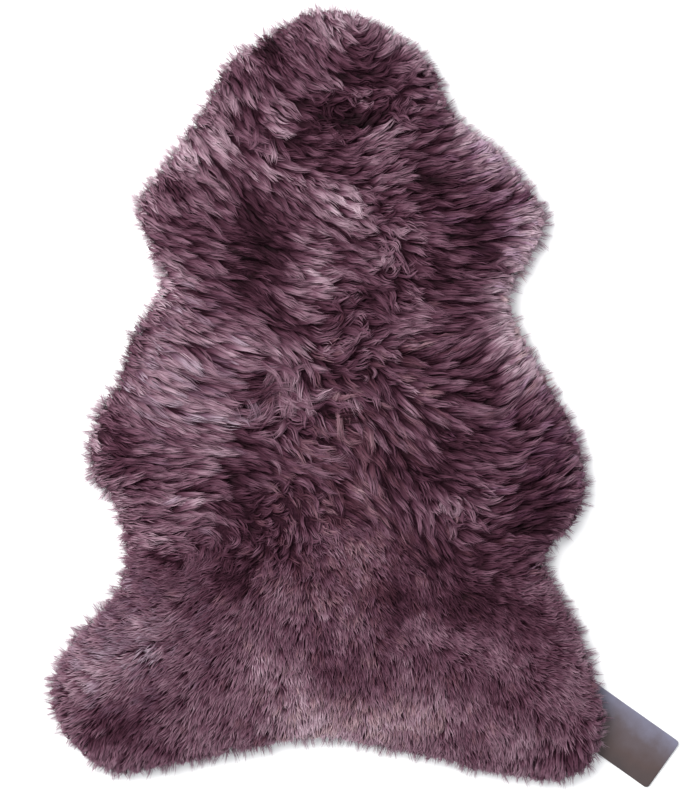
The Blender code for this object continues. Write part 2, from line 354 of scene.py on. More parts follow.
PATH_STEPS = 24
PATH_SHARES = np.linspace(0.0, 1.0, PATH_STEPS + 1)
ROW_PITCH = math.sqrt(0.75)  # between the rows of a staggered grid, in steps
STAGGER = 0.28  # how far roots lie off that grid, in steps
ROOT_LEAN = 0.35  # share of a lock's length that goes sideways at its root, where it stands up
ROOT_SHARE = 0.4  # share of its length in which it leans over
SINK_POWER = 1.8
FLOOR_CLEAR = 0.003
ROOT_EDGE = 0.005  # the roots nearest the outline
SHORTEST = 0.012
TRIM_ROUNDS = 2
OVERSHOOT = (-0.010, -0.003)  # where the locks at the outline end; all are short of it
TIP_SPREAD = 0.0010  # how far tips end above or below the CAD wool

# A kind of lock: the spacing of its roots, its length, how deep it roots, its radius, how flat it is
# and how far it closes at its tip. Its strands run from the share start of its length to between
# the share ends and its tip; fan is how far their tips part, and paled how much of the painted
# shade on their roots they leave out
Kind = namedtuple(
    "Kind", "spacing length depth radius flatness gather start ends fan paled strands segments width"
)
SLEEK = Kind(0.0104, 0.056, 0.020, 0.0052, 0.65, 0.60, 0.22, 0.78, 0.10, 0.0, 18, 4, 0.0017)
CURLY = Kind(0.0108, 0.056, 0.020, 0.0056, 0.65, 0.80, 0.18, 0.78, 0.10, 0.0, 12, 7, 0.0019)
PLUSH = Kind(0.0088, 0.036, 0.014, 0.0085, 0.30, 0.10, 0.22, 0.60, 0.30, 0.0, 21, 3, 0.0015)
FILLING = Kind(0.0085, 0.030, 0.015, 0.0070, 0.60, 0.50, 0.10, 0.70, 0.10, 0.0, 10, 4, 0.0018)
SKIRT = Kind(0.0036, 0.0, 0.0, 0.0040, 0.60, 0.50, 0.0, 0.70, 0.20, 0.6, 10, 4, 0.0016)
FRINGE = Kind(0.0022, 0.0, 0.0, 0.0026, 0.80, 0.10, 0.0, 0.50, 0.60, 0.65, 12, 3, 0.0006)
CURLY_FROM = 0.26  # the curl from which a lock is curly
PLUSH_UNDER = 0.20  # the tuft strength under which a lock is plush
KIND_BLEND = 0.04

# How much the locks of a kind differ, as factors
LENGTHS = (0.85, 1.15)
RADII = (0.8, 1.2)
CURLS = (0.5, 1.2)
WAVES = (0.6, 1.4)
WIDTHS = (0.6, 1.2)
WAVE_LEAST = 0.15  # in millimetres
LOCK_STRAY = 0.45  # share of the habit's stray that a lock has on its own
PHASE_STRAY = 0.06

# Inside a lock; lengths are in its radii and angles in radians
STRAND_ANGLES = (-0.2 * math.pi, 1.2 * math.pi)  # round its middle; few strands lie below it
STRAND_CORE = 0.35  # no strand lies nearer its middle
SUBTIPS = (-0.28, 0.0, 0.28)  # its strands end in three points
GATHER_POWER = 3  # how late it closes
CRIMP_HEIGHT = 0.5  # of its waves, as a share of how far they go sideways
WANDER = 0.12
WANDER_TURNS = (0.6, 1.6)
SWING_STRAY = 0.5
FACE_STRAY = 0.3
ROOT_BREADTH = 0.6  # of a strand, as a share of its full breadth
WIDENING = 1.5
TAPER = 2.5
TAPER_POWER = 0.7

# Neighbouring locks run together in long tufts, with creases between them
TUFT_LENGTH = 0.038
TUFT_WIDTH = 0.0098
TUFT_TRIES = 10000
TUFT_CROWDING = 0.80
TUFT_CROWN = 0.0044  # how much higher a tuft is in its middle
TUFT_LIFT = 0.0012
TUFT_TURN = math.radians(8)
TUFT_TONE = 0.045
CRIMP = (0.018, 0.028)  # the length of one wave
# Painted shade: how much darker the tone of the locks in the creases between tufts is
CREASE_PAINTED_SHADE = 0.15
CREASE_MOST = 1.4
TUFT_DRIFT = 0.020  # the reach in which the tufts' turn changes
TUFT_STRAY = 0.5  # share of the habit's stray that a tuft has
PULL_POWER = 1.5  # how a lock's pull into its tuft grows towards its tip
FAR = 100.0  # keeps locks out of the tufts that run the other way

# A border's tone is added to the wool's tone where its tips end; the fringe's lighter tone is painted
# light, lifting tips that lie in shade
Border = namedtuple("Border", "name kind inset beyond levels tone")
BORDERS = (
    Border("wool_skirt", SKIRT, 0.025, (-0.009, -0.001), (0.05, 0.95), 0.2),
    Border("wool_fringe", FRINGE, 0.012, (-0.004, 0.015), (0.2, 0.9), 0.5),
)
# Single long locks that lie over the rest; the path runs from the root to the tip, the radius is in
# millimetres and the tone in the steps of the patches. The first are in the tangle and on the loin,
# then the back, the knot of curls on the right and the withers
Loose = namedtuple("Loose", "radius tone path")
LOOSE = [Loose(*row) for row in (
    (8, 0.9, ((-142, 18), (-122, 0), (-108, -18), (-103, -36))),
    (8, 1.0, ((-112, 10), (-92, -8), (-86, -22), (-90, -38))),
    (3, 1.4, ((-128, -22), (-106, -30), (-94, -34), (-92, -42))),
    (7, 0.7, ((-92, -52), (-78, -34), (-64, -14), (-62, 4))),
    (4, 0.8, ((-62, -10), (-58, 6), (-50, 6), (-46, -6))),
    (7, 1.0, ((-30, 10), (-38, -4), (-46, -18), (-48, -32))),
    (6, 1.1, ((-62, 4), (-56, -8), (-50, -20), (-49, -32))),
    (4, 1.0, ((-48, -24), (-49, -38), (-56, -48), (-66, -54))),
    (6, 1.0, ((-48, -26), (-42, -48), (-24, -66), (2, -79), (20, -78), (29, -72), (26, -65))),
    (5, 1.2, ((-36, -40), (-26, -30), (-18, -19), (-13, -22), (-13, -28))),
    (5, 0.8, ((-46, -92), (-44, -79), (-36, -82), (-16, -94), (6, -100), (22, -99))),
    (3, 1.0, ((-88, -58), (-85, -70), (-70, -78), (-56, -88), (-54, -102))),
    (4, 1.1, ((16, 4), (16, -16), (18, -40), (20, -62))),
    (4, 1.2, ((4, -14), (10, -8), (16, 0), (19, 4))),
    (7, 1.5, ((30, 10), (34, -4), (38, -18), (48, -28))),
    (2, 0.9, ((38, 26), (48, 26), (53, 20), (48, 14))),
    (2, 0.9, ((50, 34), (59, 33), (63, 26), (58, 18))),
    (4, 0.8, ((-48, 28), (-38, 30), (-28, 34), (-20, 34))),
    (3, 1.3, ((-32, 44), (-18, 35), (-8, 32), (5, 31))),
    (6, 1.0, ((-60, 36), (-64, 28), (-68, 18), (-76, 8))),
    (4, 0.3, ((46, 124), (60, 126), (74, 114), (82, 94))),
    (3, 0.8, ((58, 168), (68, 170), (76, 162), (70, 154))),
    (5, 1.5, ((166, -127), (153, -130), (144, -138), (148, -150))),
    (5, 1.4, ((148, -143), (156, -149), (163, -146), (162, -138))),
    (4, 1.2, ((174, -126), (169, -133), (165, -142), (160, -152))),
    (5, 0.9, ((155, -150), (158, -160), (158, -172), (155, -184))),
    (5, 1.4, ((14, 258), (28, 252), (40, 244), (48, 238))),
    (4, 1.1, ((70, 226), (58, 230), (50, 224), (54, 216))),
    (4, 1.3, ((38, 224), (50, 212), (60, 204), (70, 198))),
)]
LOOSE_WOOL = Kind(0.0, 0.0, 0.011, 0.0, 0.60, 0.35, 0.05, 0.60, 0.30, 0.30, 40, 9, 0.0010)
LOOSE_LIFT = 0.0040
LOOSE_TONE = -0.6  # of all of them
LOOSE_WAVE = (0.0005, (0.8, 1.6))  # the height of its crimp, and how many waves it has
BEND_ROUNDING = 6

BORDER_STRAY = 0.20
BORDER_BEND = 0.12
BORDER_INSETS = (0.85, 1.1)  # as factors
BORDER_RISE = (0.1, 2.2)  # of a lock's height, at its root and along it
BORDER_WAVE = (0.0004, (0.5, 1.5))
BORDER_POWER = 1.5  # how much fewer the far tips are than the near ones
BORDER_COMB = 0.5  # share of the combing in the way that the border points
COVER_FROM = PATH_STEPS // 3  # the steps of a lock that cover what is under them
COVER_BLUR = 6
COVER_WANTED = 0.45  # of the cover that most places have

TONE_SCALE = 0.28  # how much of the map's width one step of tone takes
TONE_STEP = PATH_STEPS * 3 // 4  # where along a lock its tone is read
DRIFT_TONE = 0.035
DRIFT_REACH = 0.012
LOCK_TONE = 0.050
STRAND_TONE = 0.036
STRAND_BREADTH = 0.012  # how much of the map's width a strand takes
MAP_EDGE = 0.04
STREAKS_ACROSS = 190.0  # the streaks within strands, over the map's width
STREAKS_ALONG = 5.0
STREAK_TONE = 0.22

Wave = namedtuple("Wave", "height turns phase")
Locks = namedtuple("Locks", "lines radius wave tone cast paled")


def dice(draw):
    """Random numbers of their own for each draw, so that a change to one leaves the others."""
    return np.random.default_rng((SEED, draw))


def felt(points, ovals):
    """How strongly each point feels each oval, from 0 to 1."""
    weights = np.empty((len(points), len(ovals)))
    for index, oval in enumerate(ovals):
        turn = math.radians(oval.turn)
        offset = points - np.array((oval.x, oval.y)) * MM
        along = offset @ (math.cos(turn), math.sin(turn)) / (oval.length * MM)
        across = offset @ (-math.sin(turn), math.cos(turn)) / (oval.width * MM)
        weights[:, index] = np.exp(-(along**2) - across**2)
    return weights


def column(table, name):
    return np.array([getattr(row, name) for row in table], dtype=float)


def habit_at(points):
    """How the wool grows at each point, as one Grain for them all."""
    weights = felt(points, HABITS)
    names = ("curl", "wave", "reach", "stray", "tuft")
    return Grain(*(getattr(PLAIN, name) + weights @ column(HABITS, name) for name in names))


def drift(rng, reach):
    """A smooth random field of about unit height, that changes over this reach."""
    values = blurred(rng.normal(size=wool.top.values.shape), round(2 * (reach / GRID_STEP) ** 2))
    return Field(wool.top.low, (values - values.mean()) / values.std())


STROKE_PLACES = np.stack([column(STROKES, "x"), column(STROKES, "y")], axis=1) * MM
STROKE_WAYS = turned(np.radians(column(STROKES, "heading")))


def way_out(points):
    """The way out of the rug, seen from above."""
    return unit(np.stack([field.at(points) for field in wool.outward], axis=-1))


def stroked(points):
    """The way of the strokes at each point."""
    offset = points[:, None, :] - STROKE_PLACES
    weight = np.exp(-(offset**2).sum(axis=2) / (2 * COMB_REACH**2)) + SMALL * SMALL
    return unit(weight @ STROKE_WAYS)


def near_rim(points, reach):
    """1 at the outline, and less further in."""
    return np.exp(-np.clip(wool.inside.at(points), 0.0, None) / reach)


def combed(points):
    """The way of the wool: along the strokes, and out of the rug where these leave it."""
    way, out = stroked(points), way_out(points)
    share = near_rim(points, RIM_REACH)[:, None]
    outward = np.clip((way * out).sum(axis=1, keepdims=True) * OUTWARD_SLOPE + 0.5, 0.0, 1.0)
    return unit(way * (1 - share * outward) + out * share * outward)


def staggered_grid(low, high, spacing):
    """Places in rows, with every other row moved by half a step."""
    rows = np.arange(low[1], high[1], spacing * ROW_PITCH)
    x, y = np.meshgrid(np.arange(low[0], high[0], spacing), rows)
    x[1::2] += spacing / 2
    return np.stack([x.ravel(), y.ravel()], axis=1)


def staggered(rng, spacing, edge):
    """Places on a staggered grid, each moved at random, that lie inside the outline."""
    places = staggered_grid(wool.outline.min(axis=0), wool.outline.max(axis=0), spacing)
    places += rng.normal(0.0, spacing * STAGGER, places.shape)
    places = places[wool.inside.at(places) > edge]
    return places[np.argsort(-places[:, 1], kind="stable")]


def rotated(ways, angles):
    """Ways in the plane, turned by angles in radians."""
    cosine, sine = np.cos(angles), np.sin(angles)
    x, y = ways[:, 0], ways[:, 1]
    return np.stack([x * cosine - y * sine, x * sine + y * cosine], axis=1)


def plans_over(roots, shift, length, turn, curl):
    """The locks' middle lines seen from above, N by steps by 2."""
    place = roots.copy()
    plans = [place]
    for index in range(PATH_STEPS):
        share = index / PATH_STEPS
        way = rotated(combed(place + shift), turn + curl * math.pi * share**2)
        slope = sum(field.at(place) * way[:, axis] for axis, field in enumerate(wool.rise))
        lean = min(1.0, ROOT_LEAN + (1 - ROOT_LEAN) * share / ROOT_SHARE)
        stride = length / PATH_STEPS * lean / np.sqrt(1 + slope**2)
        place = place + way * stride[:, None]
        plans.append(place)
    return np.stack(plans, axis=1)


def trimmed(length, plans, overshoot):
    """The lengths at which locks end no further out than overshoot past the outline."""
    past = wool.inside.at(plans) < -overshoot[:, None]
    first = np.where(past.any(axis=1), past.argmax(axis=1), PATH_STEPS)
    return length * first / PATH_STEPS


def trimmed_plans(roots, shift, length, turn, curl, overshoot):
    """Plans that end as far out as overshoot lets them, and their lengths."""
    for _ in range(TRIM_ROUNDS):
        length = trimmed(length, plans_over(roots, shift, length, turn, curl), overshoot)
    return plans_over(roots, shift, length, turn, curl), length


def laid(plans, depth, lift):
    """The plans as lines in space: up from the roots to the top of the wool."""
    sunk = depth[:, None] * (1 - PATH_SHARES) ** SINK_POWER
    height = wool.top.at(plans) - sunk + lift[:, None] * PATH_SHARES
    return np.concatenate([plans, np.maximum(height, FLOOR_CLEAR)[..., None]], axis=2)


class Tufts:
    """The long tufts that neighbouring locks run together in."""

    def __init__(self, rng):
        low, high = wool.outline.min(axis=0), wool.outline.max(axis=0)
        places = rng.uniform(low, high, (TUFT_TRIES, 2))
        places = places[wool.inside.at(places) > ROOT_EDGE]
        ways = combed(places + rng.normal(0.0, COMB_JITTER, places.shape))
        reach = habit_at(places).reach
        kept = []
        for index in range(len(places)):
            self.roots, self.ways, self.reach = (part[kept] for part in (places, ways, reach))
            away, _ = self.measured(places[index : index + 1], ways[index : index + 1])
            if not kept or away.min() > TUFT_CROWDING:
                kept.append(index)
        count = len(self.roots)
        self.turn = TUFT_TURN * drift(rng, TUFT_DRIFT).at(self.roots)
        self.turn += np.radians(habit_at(self.roots).stray) * rng.normal(0.0, TUFT_STRAY, count)
        self.curl = rng.choice((-1.0, 1.0), count)
        self.lift = rng.normal(0.0, TUFT_LIFT, count)
        self.tone = rng.normal(0.0, TUFT_TONE, count)
        self.crimp = rng.uniform(*CRIMP, count)
        self.phase = rng.random(count)

    def measured(self, places, ways):
        """How far off each place is from each tuft, in tufts, and how far left of it."""
        offset = places[:, None] - self.roots
        along = (offset * self.ways).sum(axis=2)
        left = offset[..., 1] * self.ways[:, 0] - offset[..., 0] * self.ways[:, 1]
        away = np.hypot(along / (TUFT_LENGTH * self.reach), left / TUFT_WIDTH)
        return np.where(ways @ self.ways.T < 0, away + FAR, away), left

    def nearest(self, places, ways):
        """The tuft that each place belongs to, and how far left of its middle the place is."""
        away, left = self.measured(places, ways)
        tuft = away.argmin(axis=1)
        return tuft, left[np.arange(len(places)), tuft]

    def phase_at(self, places, tuft):
        """Where in its crimp each place of a tuft is, in turns."""
        along = ((places - self.roots[tuft]) * self.ways[tuft]).sum(axis=1)
        return self.phase[tuft] + along / self.crimp[tuft]


def drawn_together(plans, left, strength):
    """Plans moved sideways towards the middles of their tufts, more so near their tips."""
    way = unit(np.gradient(plans, axis=1))
    leftward = np.stack([-way[..., 1], way[..., 0]], axis=-1)
    pull = left[:, None] * strength[:, None] * PATH_SHARES**PULL_POWER
    return plans - leftward * pull[..., None]


def planned_locks(rng, roots, kind, tufts):
    """Where locks with these roots run, and how they look."""
    count = len(roots)
    habit = habit_at(roots)
    shift = rng.normal(0.0, COMB_JITTER, (count, 2))
    tuft, left = tufts.nearest(roots, combed(roots + shift))
    strength = np.clip(habit.tuft, 0.0, 1.0)
    length = kind.length * habit.reach * rng.uniform(*LENGTHS, count)
    turn = tufts.turn[tuft] + np.radians(habit.stray) * rng.normal(0.0, LOCK_STRAY, count)
    curl = habit.curl * tufts.curl[tuft] * rng.uniform(*CURLS, count)
    overshoot = rng.uniform(*OVERSHOOT, count)
    plans, length = trimmed_plans(roots, shift, length, turn, curl, overshoot)
    plans = drawn_together(plans, left, strength)
    crease = np.clip((left / (TUFT_WIDTH / 2)) ** 2, 0.0, CREASE_MOST)
    crease = crease * np.clip(strength * 2, 0.0, 1.0)
    lift = rng.normal(0.0, TIP_SPREAD, count) + tufts.lift[tuft] + TUFT_CROWN * (1 - 2 * crease)
    depth = kind.depth * rng.uniform(*LENGTHS, count)
    tone = tone_at(plans[:, TONE_STEP])
    # The locks in the creases between tufts are darkened with painted shade
    tone = tone + tufts.tone[tuft] - CREASE_PAINTED_SHADE * crease + rng.normal(0.0, LOCK_TONE, count)
    wave = Wave(
        MM * np.clip(habit.wave, WAVE_LEAST, None) * rng.uniform(*WAVES, count),
        length / tufts.crimp[tuft],
        tufts.phase_at(roots, tuft) + rng.normal(0.0, PHASE_STRAY, count),
    )
    radius = kind.radius * rng.uniform(*RADII, count)
    paled = kind.paled + RIM_PALED * near_rim(roots, RIM_PALED_REACH)
    locks = Locks(laid(plans, depth, lift), radius, wave, tone, cast_of(rng, roots), paled)
    return chosen_locks(locks, length > SHORTEST)


def chosen_locks(locks, chosen):
    """The locks that an index or a mask picks."""
    wave = Wave(*(part[chosen] for part in locks.wave))
    return Locks(*(wave if part is locks.wave else part[chosen] for part in locks))


def tone_at(points):
    """Where in the map's width the wool's tone lies at each point, with the painted light and shade of
    the patches and the painted light at the outline.
    """
    tone = felt(points, PATCHES) @ column(PATCHES, "tone")
    tone = tone + RIM_PAINTED_LIGHT * near_rim(points, RIM_PAINTED_LIGHT_REACH)
    return 0.5 + TONE_SCALE * tone + DRIFT_TONE * tone_drift.at(points)


def cast_of(rng, points):
    """The row of CASTS that each lock takes, drawn by how strongly it feels each spread."""
    names = [cast.name for cast in CASTS]
    weight = felt(points, SPREADS) * column(SPREADS, "share")
    row = np.zeros(len(points), dtype=int)
    draw = rng.random(len(points))
    run = np.cumsum(weight / np.maximum(weight.sum(axis=1, keepdims=True), 1.0), axis=1)
    for index in reversed(range(len(SPREADS))):
        row = np.where(draw < run[:, index], names.index(SPREADS[index].cast), row)
    return row


def read_along(lines, shares):
    """Rows of lines, N by steps by D, read at shares, N by K by S, of their length."""
    steps = lines.shape[1] - 1
    place = np.clip(shares, 0.0, 1.0) * steps
    cell = np.minimum(place.astype(int), steps - 1)
    part = (place - cell)[..., None]
    row = np.arange(len(lines))[:, None, None]
    return lines[row, cell] * (1 - part) + lines[row, cell + 1] * part


def strands_of(rng, locks, kind):
    """The locks' strands: shares of their own length, middle lines and the ways of their breadth."""
    shape = (len(locks.lines), kind.strands, 1)
    end = rng.uniform(kind.ends, 1.0, shape)
    shares = kind.start + (end - kind.start) * np.linspace(0.0, 1.0, kind.segments + 1)
    middle = read_along(locks.lines, shares)
    way = unit(read_along(np.gradient(locks.lines[..., :2], axis=1), shares))
    across = np.stack([way[..., 1], -way[..., 0], np.zeros_like(way[..., 0])], axis=-1)
    up = unit(np.cross(across, unit(np.gradient(middle, axis=2))))
    angle = rng.uniform(*STRAND_ANGLES, shape)
    out = STRAND_CORE + (1 - STRAND_CORE) * np.sqrt(rng.random(shape))
    tip = rng.choice(SUBTIPS, shape) + rng.normal(0.0, kind.fan, shape)
    spread = 1.0 - kind.gather * shares**GATHER_POWER
    size = locks.radius[:, None, None]
    bends = shares * rng.uniform(*WANDER_TURNS, shape) + rng.random(shape)
    wander = rng.normal(0.0, WANDER, shape) * np.sin(2 * math.pi * bends)
    beside = size * (np.cos(angle) * out * spread + tip * shares**2 + wander)
    above = size * kind.flatness * np.sin(angle) * out * spread
    crimp = locks.wave.height[:, None, None] * np.clip(shares * 2.0, 0.0, 1.0)
    swing = 2 * math.pi * (shares * locks.wave.turns[:, None, None] + locks.wave.phase[:, None, None])
    swing = swing + rng.normal(0.0, SWING_STRAY, shape)
    beside = beside + crimp * np.sin(swing)
    above = above + CRIMP_HEIGHT * crimp * np.cos(swing)
    middle = middle + across * beside[..., None] + up * above[..., None]
    face = angle + rng.normal(0.0, FACE_STRAY, shape)
    radial = across * (np.cos(face) * kind.flatness)[..., None] + up * np.sin(face)[..., None]
    breadth = unit(np.cross(unit(np.gradient(middle, axis=2)), radial))
    middle[..., 2] = np.maximum(middle[..., 2], FLOOR_CLEAR / 2)
    paled = locks.paled[:, None, None]
    return paled + (1 - paled) * shares / end, middle, breadth


def breadth_profile(segments):
    """How broad a strand is from root to tip; the tip itself is a point."""
    share = np.linspace(0.0, 1.0, segments + 1)[:-1]
    taper = np.clip((1.0 - share) * TAPER, 0.0, 1.0) ** TAPER_POWER
    return np.minimum(ROOT_BREADTH + WIDENING * share, 1.0) * taper


def lock_mesh(rng, name, locks, kind):
    """One mesh of flat pointed strands, with the map that their material reads."""
    strands = (len(locks.lines), kind.strands)
    u = np.clip(locks.tone[:, None] + rng.normal(0.0, STRAND_TONE, strands), MAP_EDGE, 1 - MAP_EDGE)
    width = kind.width * rng.uniform(*WIDTHS, strands)
    shares, middle, breadth = strands_of(rng, locks, kind)
    count, nodes = strands[0] * strands[1], kind.segments + 1
    last = 2 * kind.segments
    middle = middle.reshape(count, nodes, 3)
    half = breadth.reshape(count, nodes, 3)[:, :-1]
    half = half * (width.reshape(count, 1) / 2 * breadth_profile(kind.segments))[..., None]
    edges = np.stack([middle[:, :-1] - half, middle[:, :-1] + half], axis=2).reshape(count, last, 3)
    vertices = np.concatenate([edges, middle[:, -1:]], axis=1).reshape(-1, 3)
    start = (np.arange(count) * (last + 1))[:, None]
    corner = np.arange(kind.segments - 1)[:, None] * 2 + np.array((0, 1, 3, 2))
    quads = (start[:, :, None] + corner[None]).reshape(-1, 4)
    triangles = start + np.array((last - 2, last - 1, last))
    share = MAP_EDGE + (1 - 2 * MAP_EDGE) * shares.reshape(count, nodes)
    share = np.concatenate([np.repeat(share[:, :-1], 2, axis=1), share[:, -1:]], axis=1)
    row = np.repeat(locks.cast, kind.strands)[:, None]
    across = np.append(np.tile((-0.5, 0.5), kind.segments) * STRAND_BREADTH, 0.0)
    uv = np.stack([u.reshape(count, 1) + across, (row + share) / len(CASTS)], axis=2)
    return mesh_from_arrays(name, vertices, quads, triangles, uv.reshape(-1, 2))


def mesh_from_arrays(name, vertices, quads, triangles, uv):
    mesh = bpy.data.meshes.new(name)
    mesh.vertices.add(len(vertices))
    mesh.vertices.foreach_set("co", vertices.astype(np.float32).ravel())
    loops = np.concatenate([quads.ravel(), triangles.ravel()]).astype(np.int32)
    mesh.loops.add(len(loops))
    mesh.loops.foreach_set("vertex_index", loops)
    triangle_starts = quads.size + np.arange(len(triangles)) * 3
    starts = np.concatenate([np.arange(len(quads)) * 4, triangle_starts]).astype(np.int32)
    mesh.polygons.add(len(starts))
    mesh.polygons.foreach_set("loop_start", starts)
    mesh.update(calc_edges=True)
    mesh.shade_smooth()
    layer = mesh.uv_layers.new(name="OFBake")
    layer.data.foreach_set("uv", uv[loops].astype(np.float32).ravel())
    return mesh


def thin_places(rng, lines, kind):
    """Roots for filling locks: places that few of the locks pass over past their roots."""
    passed = lines[:, COVER_FROM:, :2].reshape(-1, 2)
    cover = np.zeros(wool.top.values.shape)
    cells = np.round((passed - wool.top.low) / GRID_STEP).astype(int)
    np.add.at(cover, (cells[:, 0], cells[:, 1]), 1.0)
    cover = Field(wool.top.low, blurred(cover, COVER_BLUR))
    places = staggered(rng, kind.spacing, ROOT_EDGE / 2)
    return places[cover.at(places) < COVER_WANTED * np.median(cover.at(places))]


def kinds_at(rng, roots):
    """Which roots grow curly locks, and which plush; the others are sleek."""
    habit = habit_at(roots)
    curly = habit.curl + rng.normal(0.0, KIND_BLEND, len(roots)) > CURLY_FROM
    plush = habit.tuft + rng.normal(0.0, KIND_BLEND, len(roots)) < PLUSH_UNDER
    return curly, plush & ~curly


def grow(rng, names, locks, kind):
    """Pieces of wool with these names, which share the locks out down the rug."""
    shares = np.array_split(np.arange(len(locks.lines)), len(names))
    return [
        add_object(name, lock_mesh(rng, name, chosen_locks(locks, share), kind))
        for name, share in zip(names, shares)
    ]


def grow_wool():
    """The sleek, plush and curly locks, short ones where these leave the wool thin, and loose ones."""
    tufts = Tufts(dice(DRAWS.tufts))
    rng = dice(DRAWS.roots)
    roots = staggered(rng, SLEEK.spacing, ROOT_EDGE)
    curly, plush = kinds_at(rng, roots)
    plush_roots = staggered(rng, PLUSH.spacing, ROOT_EDGE)
    plush_roots = plush_roots[kinds_at(rng, plush_roots)[1]]
    sleek_names = ("wool_neck", "wool_shoulders", "wool_back", "wool_flanks")
    pieces, lines = [], []
    for names, draw, places, kind in (
        (sleek_names, DRAWS.sleek, roots[~curly & ~plush], SLEEK),
        (("wool_rump", "wool_tail"), DRAWS.plush, plush_roots, PLUSH),
        (("wool_curls",), DRAWS.curly, roots[curly], CURLY),
    ):
        rng = dice(draw)
        locks = planned_locks(rng, places, kind, tufts)
        pieces += grow(rng, names, locks, kind)
        lines.append(locks.lines)
    rng = dice(DRAWS.filling)
    locks = planned_locks(rng, thin_places(rng, np.concatenate(lines), FILLING), FILLING, tufts)
    pieces += grow(rng, ("wool_filling",), locks, FILLING)
    rng = dice(DRAWS.loose)
    return pieces + grow(rng, ("wool_loose",), loose_locks(rng, LOOSE_WOOL), LOOSE_WOOL)


def small_waves(rng, count, height, turns):
    """Waves of one height, with random lengths and places."""
    return Wave(np.full(count, height), rng.uniform(*turns, count), rng.random(count))


def loose_plan(path):
    """The way of a long lock seen from above, with its bends rounded."""
    path = np.array(path, dtype=float) * MM
    plan = read_path(path, np.linspace(0.0, run_of(path)[-1], PATH_STEPS + 1))
    for _ in range(BEND_ROUNDING):
        plan[1:-1] = (plan[:-2] + 2 * plan[1:-1] + plan[2:]) / 4
    return plan


def loose_locks(rng, kind):
    """The long locks of the table, each with as many strands as its kind has."""
    plans = np.array([loose_plan(row.path) for row in LOOSE])
    count = len(plans)
    return Locks(
        laid(plans, np.full(count, kind.depth), np.full(count, LOOSE_LIFT)),
        column(LOOSE, "radius") * MM,
        small_waves(rng, count, *LOOSE_WAVE),
        0.5 + TONE_SCALE * (column(LOOSE, "tone") + LOOSE_TONE),
        cast_of(rng, plans[:, 0]),
        np.full(count, kind.paled),
    )


def border_locks(rng, kind, inset, beyond, levels, tone):
    """Locks along the outline, which point out of it; levels are shares of the wool's height."""
    rim = evenly_spaced(wool.outline, kind.spacing)
    count = len(rim)
    out, along = way_out(rim), stroked(rim)
    along = along * np.sign((along * out).sum(axis=1, keepdims=True))
    way = unit(out + BORDER_COMB * along)
    side = np.stack([way[:, 1], -way[:, 0]], axis=1)
    start = rim - way * (inset * rng.uniform(*BORDER_INSETS, count))[:, None]
    reach = beyond[0] + (beyond[1] - beyond[0]) * rng.random(count) ** BORDER_POWER
    end = rim + way * reach[:, None]
    end = end + side * rng.normal(0.0, BORDER_STRAY, count)[:, None] * (inset + beyond[1])
    share = PATH_SHARES[None, :, None]
    bend = side[:, None] * (rng.normal(0.0, BORDER_BEND, count) * inset)[:, None, None]
    plan = start[:, None] * (1 - share) + end[:, None] * share + bend * share * (1 - share)
    level = rng.uniform(*levels, count)[:, None]
    rise = np.minimum(1.0, BORDER_RISE[0] + BORDER_RISE[1] * share[..., 0])
    height = FLOOR_CLEAR / 2 + level * rise * (wool.top.at(plan) - FLOOR_CLEAR / 2)
    return Locks(
        np.concatenate([plan, height[..., None]], axis=2),
        kind.radius * rng.uniform(*RADII, count),
        small_waves(rng, count, *BORDER_WAVE),
        tone_at(end) + TONE_SCALE * tone + rng.normal(0.0, LOCK_TONE, count),
        cast_of(rng, rim),
        np.full(count, kind.paled),
    )


def grow_border():
    """The wool under the outline's overhang, and the fine tips that stand out past it."""
    rng = dice(DRAWS.border)
    pieces = []
    for name, kind, *shape in BORDERS:
        pieces += grow(rng, (name,), border_locks(rng, kind, *shape), kind)
    return pieces


# ---- Under the locks: the dense wool, the hide and the label ----

CDT_SLACK = 1e-6
SLAB_INNER = 0.6  # how far inside its ring a slab's inner points stay, in steps
RING_ROUNDS = 8
UNDERWOOL_INSET = 0.014
UNDERWOOL_DEPTH = 0.009  # from the CAD wool's top down to the underwool's
UNDERWOOL_SHALLOW = 0.55  # share of that depth under the plush locks
UNDERWOOL_PITCH = 0.009
HIDE_INSET = 0.0285
HIDE_THICKNESS = 0.0025
HIDE_PITCH = 0.014
HIDE_LIFT = 0.0022  # where the hide passes over the label
LIFT_RAMP = 0.012
SLIT = 0.0002  # between the hide and the wool on it


def inset_ring(inset, spacing):
    """The outline moved in by inset, with its sharp turns smoothed out."""
    rim = evenly_spaced(wool.outline, spacing)
    ring = rim.copy()
    for _ in range(RING_ROUNDS):
        short = inset - wool.inside.at(ring)
        ring = ring - way_out(ring) * short[:, None]
        ring = (np.roll(ring, 1, axis=0) + 2 * ring + np.roll(ring, -1, axis=0)) / 4
    return evenly_spaced(ring, spacing)


def triangulated(ring, places):
    """Corners and faces that fill the ring over these places."""
    points = [Vector(place) for place in np.concatenate([ring, places])]
    corners, _, faces, _, _, _ = delaunay_2d_cdt(points, [], [list(range(len(ring)))], 1, CDT_SLACK)
    return corners, faces


def smooth_object(name, bm):
    """The modelled mesh as an object of this name."""
    mesh = bpy.data.meshes.new(name)
    bm.to_mesh(mesh)
    bm.free()
    mesh.shade_smooth()
    return add_object(name, mesh)


